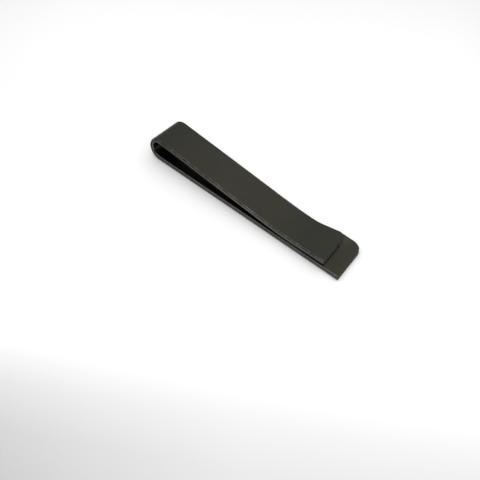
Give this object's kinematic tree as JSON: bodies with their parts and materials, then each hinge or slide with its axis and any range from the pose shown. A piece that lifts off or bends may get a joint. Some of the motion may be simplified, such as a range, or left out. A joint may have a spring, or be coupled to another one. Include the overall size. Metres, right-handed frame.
{
  "type": "tie clip",
  "caption": "Folded strip tie clip: flat front bar with a widened, slant-cut tip, a hairpin fold, and a shorter sprung arm that grips cloth against the bar.",
  "frame": {"origin": "on the front bar's outer face, halfway along the clip and in the middle of the plain strip's width", "axes": "+X from the fold to the open tip, +Y to the edge that widens at the tip, +Z from the bar's outer face up through the spring arm"},
  "size_m": [0.0414, 0.0081, 0.0045],
  "materials": {
    "gunmetal_bar": "dark gunmetal plating, satin",
    "gunmetal_fold": "dark gunmetal plating, satin",
    "gunmetal_arm": "dark gunmetal plating, satin"
  },
  "bodies": {
    "root": {"front_bar": "gunmetal_bar", "fold": "gunmetal_fold"},
    "arm": {"spring_arm": "gunmetal_arm"}
  },
  "joints": [
    {"name": "arm_flex", "type": "hinge", "parent": "root", "child": "arm", "pos_m": [-0.01824, 0, 0.00449], "axis": [0, -1, 0], "range_deg": [0, 6], "stiffness_Nm_per_rad": 1.8}
  ]
}
